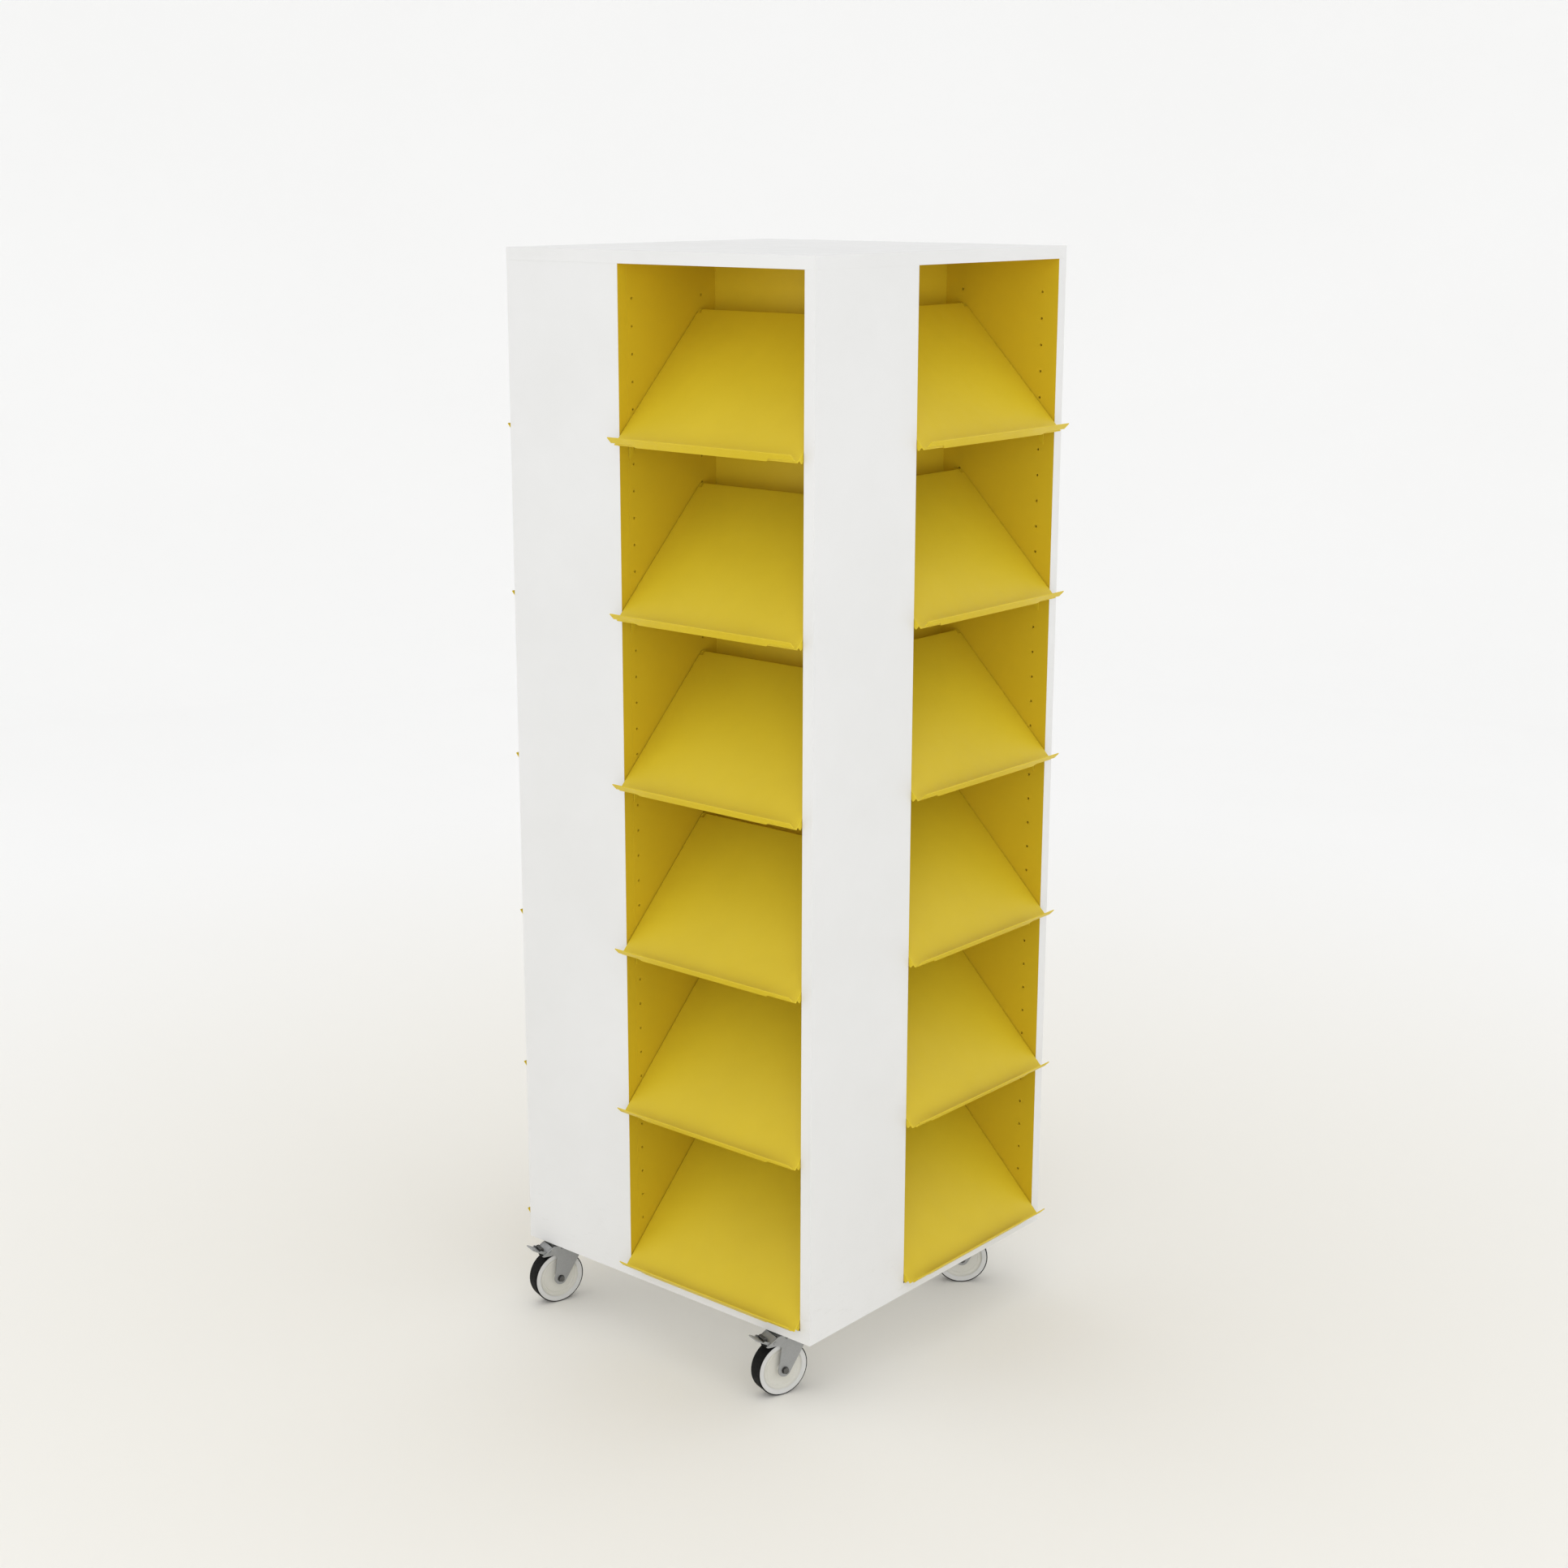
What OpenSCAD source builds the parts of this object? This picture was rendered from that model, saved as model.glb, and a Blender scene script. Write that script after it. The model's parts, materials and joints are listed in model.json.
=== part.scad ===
// Mobile display tower for magazines: a cabinet on castors with the same column of sloping
// shelves on each of its four sides. The side boards stand in a pinwheel round a hollow core.
// Millimetres, +Z up, origin on the floor at the middle of the tower. The front faces -Y.

/* [Cabinet] */
// Width and depth of the cabinet
body_w = 600; // [540:10:760]
// Height of the cabinet without its castors
body_h = 1600; // [1560:10:2000]
// Thickness of every board
board_t = 19; // [16:0.5:25]
// Width of the closed panel beside each opening
panel_w = 230; // [215:5:260]
// Diameter of the wooden dowels in the board joints
dowel_d = 8; // [6:1:10]
// Depth of a dowel in the end of a board
dowel_end_depth = 22; // [16:1:26]
// Depth of a dowel in the face of a board
dowel_face_depth = 11; // [8:1:13]
// Number of dowels down each upright joint
dowel_rows = 5; // [3:1:8]

/* [Shelf holes] */
// Diameter of a shelf pin and of its hole
pin_d = 4; // [3:0.5:6]
// Depth of a shelf pin's hole
pin_hole_depth = 11; // [9:1:13]
// Length of a shelf pin inside the board
pin_in = 10; // [7:1:11]
// Length of a shelf pin outside the board
pin_out = 6; // [5:0.5:8]
// Distance of the front row of holes from the face of the cabinet
row_front = 29.5; // [28:0.5:34]
// Distance between the two rows of holes
row_gap = 150; // [140:2:160]
// Vertical distance between holes
hole_pitch = 40; // [32:1:50]
// Height of the hole grid's zero line above the cabinet's underside
hole_start = 10.6; // [8:0.1:14]

/* [Shelves] */
// Number of shelves on each side
shelf_count = 6; // [3:1:6]
// Vertical distance between shelves
shelf_pitch = 260; // [250:2:262]
// Height of the lowest shelf's fold above the cabinet's underside
shelf_start = 22; // [20:0.5:30]
// Slope of the shelves in degrees
shelf_slope = 45; // [42:1:47]
// Thickness of the shelf steel
sheet_t = 1.5; // [1:0.1:2]
// Inside radius of the shelf's bends
bend_r = 0.6; // [0.4:0.1:2]
// Length of the shelf plate from its fold to its rear edge
plate_l = 266; // [240:2:270]
// Height of the lip that stops a magazine
lip_h = 18.5; // [12:0.5:26]
// Distance that the fold stands in front of the cabinet's face
fold_out = 13.5; // [8:0.5:20]
// Depth of the side flange in front of the face
flange_h = 9.2; // [5:0.2:11]
// Width of the stretch where the lip joins the plate
lip_root_w = 250; // [180:5:280]
// Distance of that stretch from the shelf's middle, to the right
lip_root_shift = -4; // [-10:1:10]
// Height of the lip's slots at both ends of the fold
lip_relief = 6.4; // [3:0.2:8]
// Depth of the plate's slots at both ends of the fold
plate_relief = 1; // [0.6:0.1:6]
// Distance from the fold to the side flanges
flange_start = 5.8; // [3:0.2:10]
// Side of the notches in the plate's rear corners
corner_notch = 8; // [4:1:12]
// Gap between a shelf and the board beside it
shelf_gap = 1; // [0.5:0.1:2]

/* [Castors] */
// Height of a castor from the floor to the cabinet's underside
castor_h = 105; // [104:1:115]
// Diameter of the wheel over its tyre
wheel_d = 87; // [80:1:88]
// Width of the wheel
wheel_w = 24; // [18:1:26]
// Thickness of the tyre
tyre_t = 1.8; // [1.2:0.1:4]
// Distance of the axle from the swivel axis
trail = 46; // [40:1:48]
// Distance of a swivel axis from the cabinet's faces
castor_inset = 58; // [54:1:80]
// Side of the square top plate
mount_w = 76; // [72:1:84]
// Distance between the screws of the top plate
screw_gap = 58; // [52:1:60]
// Thickness of the pressed steel of the plate and fork
steel_t = 2.5; // [2:0.1:3]
// Diameter of the axle bolt
axle_d = 8; // [6:0.5:10]
// Diameter of the kingpin
kingpin_d = 10; // [8:0.5:12]
// Diameter of the brake pedal's pivot
brake_pin_d = 5; // [4:0.5:5]
// Angle that the front right castor trails at, in degrees from +X
turn_front_right = 252; // [0:1:359]
// Angle that the front left castor trails at
turn_front_left = 252; // [0:1:359]
// Angle that the rear right castor trails at
turn_rear_right = 222; // [0:1:359]
// Angle that the rear left castor trails at
turn_rear_left = 236; // [0:1:359]

/* [Hidden] */
$fn = 48;
cut = 1;                                  // how far a cutter runs past the face it cuts
slip = 0.05;                              // radial clearance of a turning fit
play = 0.3;                               // side clearance of a moving part
half = body_w / 2;
face = half - board_t;                    // inner face of an outer panel
open_left = panel_w - half;               // left edge of the front opening
open_w = face - open_left;
core = -open_left;                        // half the width of the hollow core
inner_h = body_h - 2 * board_t;
floor_z = castor_h + board_t;             // top of the bottom board
row_y = [row_front - half, row_front + row_gap - half];
hole_count = floor((body_h - board_t - hole_start - hole_pitch / 2) / hole_pitch);

SIDES = ["front", "right", "back", "left"];
CASTORS = ["front_right", "front_left", "rear_right", "rear_left"];
corner = [[1, -1], [-1, -1], [1, 1], [-1, 1]];
turn = [turn_front_right, turn_front_left, turn_rear_right, turn_rear_left];
BRAKED = [0, 1];                          // the castors that carry a brake pedal

shelf_w = open_w - 2 * shelf_gap;
shelf_left = open_left + shelf_gap;
fold_y = -half - fold_out;
cheek_front = -face;                      // the deep part of the cheeks starts behind the panel's edge
cheek_back = row_y[1] + 10;
seat_min = 12;                            // least depth of a pin under the plate
cheek_drop = seat_min + hole_pitch + pin_d / 2 + 2;
pin_clear = 0.1;
floor_clear = 1;

wheel_r = wheel_d / 2;
rim_r = wheel_r - tyre_t;
plate_z = castor_h - steel_t;             // underside of the castor's top plate
crown_top = castor_h - 10;
crown_z = crown_top - steel_t;
arm_in = wheel_w / 2 + 2.5;               // inside face of a fork arm
arm_out = arm_in + steel_t;
axle_end_r = axle_d / 2 + 6.8;
nut_h = 6.5;
nut_r = axle_d / 2 + 2.4;
screw_d = 5;
screw_in = board_t - 4;
brake_pin = [trail + 17.5, castor_h - 12.8];  // pivot of the pedal: along the trail, up
pedal_half = arm_in - play;
shoe_gap = 2.4;                           // rest clearance from the brake shoe to the tyre
shoe_w = wheel_w - 3;

function fold_z(k) = castor_h + shelf_start + (k - 1) * shelf_pitch;
function plate_at(k, y) = fold_z(k) + (y - fold_y) * tan(shelf_slope);
function hole_z(n) = castor_h + hole_start + n * hole_pitch;
function seat_hole(k, y) = floor((plate_at(k, y) - seat_min - hole_z(0)) / hole_pitch);
function dowel_z(i) = floor_z + inner_h * (i + 0.5) / dowel_rows;
// the upright joints' dowels keep to the middle between two shelf holes
function clear_z(z) = hole_z(round((z - hole_z(0)) / hole_pitch - 0.5) + 0.5);

NODES = concat(
    [for (s = SIDES) str("outer_panel_", s)],
    [for (s = SIDES) str("partition_", s)],
    ["bottom_board", "top_board", "dowels", "shelf_pins"],
    [for (s = SIDES) for (k = [1:shelf_count]) str("shelf_", s, "_", k)],
    ["castor_plates", "castor_screws", "castor_kingpins", "castor_bearings"],
    [for (c = CASTORS) str("fork_", c)],
    [for (c = CASTORS) str("axle_", c)],
    [for (c = CASTORS) str("wheel_", c)],
    [for (c = CASTORS) str("tyre_", c)],
    [for (b = BRAKED) str("brake_pedal_", CASTORS[b])]
);
node = "all";

function shown(name) = node == "all" || node == name;

// Places its children on side s: 0 front, then round the tower against the clock.
module on_side(s) {
    rotate([0, 0, 90 * s]) children();
}

// Places its children on castor c's swivel axis, square to the cabinet, z = 0 on the floor.
module at_corner(c) {
    translate([corner[c][0], corner[c][1], 0] * (half - castor_inset)) children();
}

// The same, with +X the way that the castor trails.
module at_castor(c) {
    at_corner(c) rotate([0, 0, turn[c]]) children();
}

// Extrudes a Y-Z outline along X.
module along_x(x, length) {
    translate([x, 0, 0]) rotate([90, 0, 90]) linear_extrude(length) children();
}

// Extrudes an X-Z outline along Y, both ways from y = 0.
module across_y(width) {
    translate([0, width / 2, 0]) rotate([90, 0, 0]) linear_extrude(width) children();
}

// ---------------------------------------------------------------- boards

// The two rows of shelf holes, drilled in the +X direction from x = 0.
module shelf_holes() {
    for (y = row_y, n = [1:hole_count])
        translate([0, y, hole_z(n)]) rotate([0, 90, 0]) cylinder(d = pin_d, h = pin_hole_depth);
}

module dowel(end_len, face_len) {
    translate([0, 0, -end_len]) cylinder(d = dowel_d, h = end_len + face_len);
}

// Dowels that join an upright board's ends to the bottom and top boards.
module end_dowels(points) {
    for (p = points) {
        translate([p[0], p[1], floor_z]) rotate([180, 0, 0]) dowel(dowel_end_depth, dowel_face_depth);
        translate([p[0], p[1], floor_z + inner_h]) dowel(dowel_end_depth, dowel_face_depth);
    }
}

module panel_end_dowels() {
    x = half - board_t / 2;
    end_dowels([[x, 30 - half], [x, open_left - 30]]);
}

module partition_end_dowels() {
    y = open_left - board_t / 2;
    end_dowels([[open_left + 35, y], [face - 35, y]]);
}

// Dowels from a partition's outer end into the outer panel.
module outer_joint_dowels() {
    for (i = [0:dowel_rows - 1])
        translate([face, open_left - board_t / 2, clear_z(dowel_z(i))])
            rotate([0, 90, 0]) dowel(dowel_end_depth, dowel_face_depth);
}

// Dowels from a partition's inner end into the face of the partition on its left.
module inner_joint_dowels() {
    for (i = [0:dowel_rows - 1])
        translate([open_left, open_left - board_t / 2, clear_z(dowel_z(i))])
            rotate([0, -90, 0]) dowel(dowel_end_depth, dowel_face_depth);
}

module outer_panel(s) {
    color("white") on_side(s) difference() {
        translate([face, -half, floor_z]) cube([board_t, panel_w, inner_h]);
        translate([face, 0, 0]) shelf_holes();
        panel_end_dowels();
        outer_joint_dowels();
    }
}

module partition(s) {
    color("gold") on_side(s) difference() {
        translate([open_left, open_left - board_t, floor_z]) cube([open_w, board_t, inner_h]);
        // its back is the left wall of the next side's bays
        rotate([0, 0, 90]) translate([open_left, 0, 0]) mirror([1, 0, 0]) shelf_holes();
        partition_end_dowels();
        outer_joint_dowels();
        inner_joint_dowels();
        on_side(1) inner_joint_dowels();
    }
}

module all_end_dowels() {
    for (s = [0:3]) on_side(s) {
        panel_end_dowels();
        partition_end_dowels();
    }
}

module flat_board(z) {
    translate([-half, -half, z]) cube([body_w, body_w, board_t]);
}

module bottom_board() {
    color("white") difference() {
        flat_board(castor_h);
        all_end_dowels();
        for (c = [0:3]) at_castor_screws(c) cylinder(d = screw_d, h = screw_in);
    }
}

module top_board() {
    color("white") difference() {
        flat_board(castor_h + body_h - board_t);
        all_end_dowels();
    }
}

module dowels() {
    color("burlywood") {
        all_end_dowels();
        for (s = [0:3]) on_side(s) {
            outer_joint_dowels();
            inner_joint_dowels();
        }
    }
}

// ---------------------------------------------------------------- shelves

// Outline of the plate and lip: the first axis runs up the plate, the second square to it.
module shelf_section() {
    translate([bend_r, -sheet_t]) square([plate_l - bend_r, sheet_t]);
    translate([-sheet_t, bend_r]) square([sheet_t, lip_h - bend_r]);
    intersection() {
        translate([bend_r, bend_r]) difference() {
            circle(r = bend_r + sheet_t);
            circle(r = bend_r);
        }
        translate([-sheet_t, -sheet_t]) square(bend_r + sheet_t);
    }
}

// Draws its children in the shelf's own axes at shelf k's fold, in the Y-Z plane.
module at_fold(k) {
    translate([fold_y, fold_z(k)]) rotate(shelf_slope) children();
}

// Side outline: a narrow flange in front of the face and a deep cheek inside the cabinet,
// open below at the two shelf pins that it sits on.
module cheek_section(k) {
    flange_end = (cheek_front - fold_y) / cos(shelf_slope) + flange_h;
    difference() {
        union() {
            at_fold(k) translate([flange_start, -flange_h])
                square([flange_end - flange_start, flange_h - sheet_t / 2]);
            intersection() {
                polygon([
                    [cheek_front, plate_at(k, cheek_front) - sheet_t],
                    [cheek_back, plate_at(k, cheek_back) - sheet_t],
                    [cheek_back, plate_at(k, cheek_back) - cheek_drop],
                    [cheek_front, plate_at(k, cheek_front) - cheek_drop]
                ]);
                translate([-half, floor_z + floor_clear]) square([half, inner_h]);
            }
        }
        for (y = row_y) translate([y, hole_z(seat_hole(k, y))]) {
            circle(d = pin_d + 2 * pin_clear);
            translate([-pin_d / 2 - pin_clear, -cheek_drop])
                square([pin_d + 2 * pin_clear, cheek_drop]);
        }
    }
}

// The slot that frees one end of the lip from the plate: along the shelf, then away from the fold.
module relief_outline(relief_w, reach) {
    below = sheet_t + cut;
    polygon([[-cut, -below], [relief_w + below, -below], [relief_w - reach, reach], [-cut, reach]]);
}

// Cutters for one end of the shelf, in the fold's axes: both relief slots and the rear notch.
module shelf_end_cuts(relief_w) {
    depth = sheet_t + cut + bend_r;
    translate([0, 0, bend_r - depth]) linear_extrude(depth) relief_outline(relief_w, plate_relief);
    translate([0, bend_r, 0]) rotate([90, 0, 0])
        linear_extrude(depth) relief_outline(relief_w, lip_relief);
    translate([-cut, plate_l - corner_notch, bend_r - depth])
        cube([corner_notch + cut, corner_notch + cut, depth]);
}

// Shelf k of side s, counted from the bottom: plate, lip and two folded cheeks of one sheet.
module shelf(s, k) {
    color("gold") on_side(s) {
        difference() {
            along_x(shelf_left, shelf_w) at_fold(k) shelf_section();
            for (m = [0, 1])
                translate([shelf_left + m * shelf_w, fold_y, fold_z(k)]) mirror([m, 0, 0])
                    rotate([shelf_slope, 0, 0])
                        shelf_end_cuts((shelf_w - lip_root_w) / 2 + (1 - 2 * m) * lip_root_shift);
        }
        for (x = [shelf_left, shelf_left + shelf_w - sheet_t])
            along_x(x, sheet_t) cheek_section(k);
    }
}

module shelf_pins() {
    color("silver") for (s = [0:3], k = [1:shelf_count], y = row_y) on_side(s)
        for (x = [open_left - pin_in, face - pin_out])
            translate([x, y, hole_z(seat_hole(k, y))])
                rotate([0, 90, 0]) cylinder(d = pin_d, h = pin_in + pin_out);
}

// ---------------------------------------------------------------- castors

module at_castor_screws(c) {
    at_corner(c) for (x = [-1, 1], y = [-1, 1])
        translate([x * screw_gap / 2, y * screw_gap / 2, castor_h]) children();
}

module castor_plates() {
    color("silver") for (c = [0:3]) difference() {
        at_corner(c) translate([-mount_w / 2, -mount_w / 2, plate_z])
            cube([mount_w, mount_w, steel_t]);
        at_corner(c) translate([0, 0, plate_z - cut]) cylinder(d = kingpin_d, h = steel_t + 2 * cut);
        at_castor_screws(c) translate([0, 0, -steel_t - cut])
            cylinder(d = screw_d, h = steel_t + 2 * cut);
    }
}

module castor_screws() {
    head_d = screw_d + 4;
    color("silver") for (c = [0:3]) at_castor_screws(c) {
        translate([0, 0, -steel_t]) cylinder(d = screw_d, h = steel_t + screw_in);
        translate([0, 0, -steel_t - 2]) difference() {
            cylinder(d = head_d, h = 2);
            translate([0, 0, -cut]) cylinder(d = 3.6, h = cut + 1.2, $fn = 6);
        }
    }
}

module castor_kingpins() {
    color("silver") for (c = [0:3]) at_castor(c) {
        translate([0, 0, crown_z - play]) cylinder(d = kingpin_d, h = castor_h - crown_z + play);
        translate([0, 0, crown_z - play - 2.4]) cylinder(d = kingpin_d + 8, h = 2.4);
    }
}

// The ball race between the plate and the fork's crown, in its pressed cover.
module castor_bearings() {
    race_z = crown_top + 2 * slip;
    color("silver") for (c = [0:3]) at_castor(c) rotate_extrude() polygon([
        [kingpin_d / 2 + 0.5, race_z],
        [kingpin_d / 2 + 9, race_z],
        [kingpin_d / 2 + 13, race_z + 2],
        [kingpin_d / 2 + 19, race_z + 2],
        [kingpin_d / 2 + 17, plate_z],
        [kingpin_d / 2 + 0.5, plate_z]
    ]);
}

// Side outline of a fork arm. Its nose slopes from a raised shoulder down to the tyre's top, and
// carries the pedal's pivot on a braked castor.
module arm_section(braked) {
    shoulder_z = plate_z - 0.9;
    nose = braked ? 0 : 8;
    difference() {
        union() {
            translate([trail, wheel_r]) circle(r = axle_end_r);
            polygon([
                [-20, crown_top],
                [-20, crown_top - 4],
                [trail - 36, wheel_r + 36],
                [trail - 9.6, wheel_r - 5],
                [trail + 10.7, wheel_r + 1.5],
                [trail + 8.2, wheel_r + 15.5],
                [trail + 5.5, wheel_r + 38],
                [trail + 10, wheel_r + 43],
                [trail + 29.5 - nose, wheel_r + 44],
                [trail + 32.5 - nose, wheel_r + 45.5],
                [trail + 10.5, shoulder_z],
                [trail + 1.5, shoulder_z],
                [trail - 2, crown_top]
            ]);
        }
        translate([trail, wheel_r]) circle(d = axle_d);
        if (braked) translate(brake_pin) circle(d = brake_pin_d + 2 * slip);
    }
}

module fork(c) {
    braked = len(search(c, BRAKED)) > 0;
    color("darkgray") at_castor(c) {
        for (y = [arm_in + steel_t / 2, -arm_in - steel_t / 2])
            translate([0, y, 0]) across_y(steel_t) arm_section(braked);
        translate([0, 0, crown_z]) linear_extrude(steel_t) difference() {
            union() {
                translate([-20, -arm_out]) square([trail + 24, 2 * arm_out]);
                circle(r = arm_out + 7);
            }
            circle(d = kingpin_d + 2 * slip);
        }
    }
}

// Hexagon bolt across the fork with its nut.
module axle(c) {
    color("dimgray") at_castor(c) translate([trail, 0, wheel_r]) rotate([90, 0, 0]) {
        translate([0, 0, -arm_out]) cylinder(d = axle_d, h = 2 * arm_out + nut_h + 1.5);
        translate([0, 0, -arm_out - nut_h + 1.5]) cylinder(r = nut_r, h = nut_h - 1.5, $fn = 6);
        translate([0, 0, arm_out]) difference() {
            cylinder(r = nut_r, h = nut_h, $fn = 6);
            translate([0, 0, -cut]) cylinder(d = axle_d, h = nut_h + 2 * cut);
        }
    }
}

// Half outline of a wheel: radius, then distance from the wheel's middle.
half_wheel = [
    [axle_d / 2 + slip, arm_in - play],
    [axle_d / 2 + 5, arm_in - play],
    [axle_d / 2 + 5.5, wheel_w / 2 - 4],
    [rim_r - 9, wheel_w / 2 - 3],
    [rim_r - 7, wheel_w / 2],
    [rim_r, wheel_w / 2]
];

half_tyre = [
    [rim_r, wheel_w / 2],
    [wheel_r - 0.8, wheel_w / 2],
    [wheel_r, wheel_w / 2 - 0.8]
];

// Turns a half outline, closed by its mirror image, round the axle.
module turned(outline) {
    last = len(outline) - 1;
    mirrored = [for (i = [last:-1:0]) [outline[i][0], -outline[i][1]]];
    translate([trail, 0, wheel_r]) rotate([90, 0, 0]) rotate_extrude($fn = 96)
        polygon(concat(outline, mirrored));
}

module wheel(c) {
    color("white") at_castor(c) turned(half_wheel);
}

module tyre(c) {
    color("black") at_castor(c) turned(half_tyre);
}

// Side outline of the pressed lever: its hub, its tread and its raised back.
module lever_section() {
    translate(brake_pin) {
        circle(r = 4.5);
        polygon([[3, 5], [9, -3], [30.5, 8.6], [30, 11]]);
        polygon([[-5, 2], [-5, 7.5], [12, 10.5], [18, 5], [11, -3], [2, -4]]);
    }
}

// Side outline of the shoe that the lever presses on the tyre.
module shoe_section() {
    translate(brake_pin)
        polygon([[0, 0], [12, 3], [12, -4], [9, -13], [0, -12]]);
}

// Pressed lever with a tread, a shoe over the tyre and the pin that it turns on.
module brake_pedal(c) {
    color("gray") at_castor(c) {
        difference() {
            union() {
                across_y(2 * pedal_half) lever_section();
                across_y(shoe_w) shoe_section();
            }
            across_y(2 * pedal_half + 2 * cut) {
                translate([trail, wheel_r]) circle(r = wheel_r + shoe_gap);
                translate(brake_pin) circle(d = brake_pin_d);
            }
        }
        translate([brake_pin[0], 0, brake_pin[1]]) rotate([90, 0, 0])
            cylinder(d = brake_pin_d, h = 2 * (arm_out + 1), center = true);
    }
}

// ---------------------------------------------------------------- the tower

for (s = [0:3]) {
    if (shown(str("outer_panel_", SIDES[s]))) outer_panel(s);
    if (shown(str("partition_", SIDES[s]))) partition(s);
    for (k = [1:shelf_count])
        if (shown(str("shelf_", SIDES[s], "_", k))) shelf(s, k);
}
if (shown("bottom_board")) bottom_board();
if (shown("top_board")) top_board();
if (shown("dowels")) dowels();
if (shown("shelf_pins")) shelf_pins();
if (shown("castor_plates")) castor_plates();
if (shown("castor_screws")) castor_screws();
if (shown("castor_kingpins")) castor_kingpins();
if (shown("castor_bearings")) castor_bearings();
for (c = [0:3]) {
    if (shown(str("fork_", CASTORS[c]))) fork(c);
    if (shown(str("axle_", CASTORS[c]))) axle(c);
    if (shown(str("wheel_", CASTORS[c]))) wheel(c);
    if (shown(str("tyre_", CASTORS[c]))) tyre(c);
}
for (b = BRAKED)
    if (shown(str("brake_pedal_", CASTORS[b]))) brake_pedal(b);
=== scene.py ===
# %% [markdown]
# # A display tower for magazines, on castors
# The real thing is a cabinet of white boards with yellow faces inside. Four side boards and four
# partitions stand in a pinwheel, so that every side has a closed panel and a column of six sloping
# steel shelves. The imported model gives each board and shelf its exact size. This script gives them
# softened edges and finishes, and builds the castors in full detail.

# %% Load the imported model
import json
import math
import bpy
from mathutils import Matrix, Vector


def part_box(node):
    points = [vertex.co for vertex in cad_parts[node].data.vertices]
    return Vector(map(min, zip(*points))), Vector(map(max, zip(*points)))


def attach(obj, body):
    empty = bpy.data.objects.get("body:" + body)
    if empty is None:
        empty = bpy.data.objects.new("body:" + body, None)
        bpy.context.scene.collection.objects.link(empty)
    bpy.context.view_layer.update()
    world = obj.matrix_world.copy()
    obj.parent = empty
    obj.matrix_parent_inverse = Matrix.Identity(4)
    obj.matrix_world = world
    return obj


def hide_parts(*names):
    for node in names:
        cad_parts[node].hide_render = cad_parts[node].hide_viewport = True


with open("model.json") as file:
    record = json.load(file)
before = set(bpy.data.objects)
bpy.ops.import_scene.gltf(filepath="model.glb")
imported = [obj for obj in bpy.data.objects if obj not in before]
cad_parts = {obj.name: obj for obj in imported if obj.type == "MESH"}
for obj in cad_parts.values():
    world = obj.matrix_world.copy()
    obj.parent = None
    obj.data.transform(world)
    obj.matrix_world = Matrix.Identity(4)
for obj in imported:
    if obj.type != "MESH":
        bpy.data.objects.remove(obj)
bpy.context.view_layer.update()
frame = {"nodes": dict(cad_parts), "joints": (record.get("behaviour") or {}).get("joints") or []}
MM = 0.001
HALF = 0.3                                   # half the cabinet's width
CASTORS = ["front_right", "front_left", "rear_right", "rear_left"]
BRAKED = CASTORS[:2]
joints = {joint["name"]: joint for joint in frame["joints"]}

# %% [markdown]
# ## Camera
# The tower is seen from a little above its middle and from its right front corner, with a long
# enough lens that the upright edges stay nearly parallel. The camera comes first, so that every
# piece can be judged from the same place.

# %% Set the camera
bpy.ops.object.camera_add(
    location=(2.4061, -2.8543, 1.8129),
    rotation=(math.radians(90 - 14.203), 0, math.radians(40.783)),
)
camera = bpy.context.object
camera.name = "camera"
camera.data.lens = 55.52
camera.data.sensor_width = 36
camera.data.shift_x = 0.01495
camera.data.shift_y = 0.0002
bpy.context.scene.camera = camera

# %% [markdown]
# ## Floor and light
# A photographer's sweep is a floor that curves up into a wall, so that no horizon shows. Here it is
# a round bowl, which works from every side. Wide soft lamps and a pale sky light it nearly evenly,
# with only a faint shadow under the tower, which a small lamp below the cabinet lifts a little.

# %% Build the sweep
FLOOR_R = 5.0
SWEEP_R = 4.0
SWEEP_STEPS = 10


def deselect():
    if bpy.context.object and bpy.context.object.mode == "EDIT":
        bpy.ops.object.mode_set(mode="OBJECT")
    bpy.ops.object.select_all(action="DESELECT")


def only(piece):
    """Makes one object the selected and active one."""
    deselect()
    piece.select_set(True)
    bpy.context.view_layer.objects.active = piece


deselect()
bpy.ops.mesh.primitive_circle_add(vertices=128, radius=FLOOR_R, fill_type="NGON")
sweep = bpy.context.object
sweep.name = "sweep"
bpy.ops.object.mode_set(mode="EDIT")
bpy.ops.mesh.select_all(action="SELECT")
bpy.ops.mesh.inset(thickness=0.0)
radius = FLOOR_R
height = 0.0
bpy.ops.mesh.select_all(action="DESELECT")
bpy.ops.mesh.select_mode(type="EDGE")
bpy.ops.mesh.select_non_manifold(extend=False)
for step in range(1, SWEEP_STEPS + 1):
    angle = math.pi / 2 * step / SWEEP_STEPS
    new_radius = FLOOR_R + SWEEP_R * math.sin(angle)
    new_height = SWEEP_R * (1 - math.cos(angle))
    bpy.ops.mesh.extrude_region_move(
        TRANSFORM_OT_translate={"value": (0, 0, new_height - height)}
    )
    grow = new_radius / radius
    bpy.ops.transform.resize(value=(grow, grow, 1), center_override=(0, 0, new_height))
    radius, height = new_radius, new_height
bpy.ops.object.mode_set(mode="OBJECT")
bpy.ops.object.shade_smooth_by_angle(angle=math.radians(30))
print("sweep:", len(sweep.data.polygons), "faces, up to", round(height, 2), "m")

# %% Light it


def soft_lamp(name, place, aim, size, power, tint=(1, 1, 1)):
    """A square lamp at place, turned to shine on aim."""
    turn = (Vector(aim) - Vector(place)).to_track_quat("-Z", "Y").to_euler()
    bpy.ops.object.light_add(type="AREA", location=place, rotation=turn)
    lamp = bpy.context.object
    lamp.name = name
    lamp.data.size = size
    lamp.data.energy = power
    lamp.data.color = tint
    lamp.visible_camera = False
    return lamp


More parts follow.
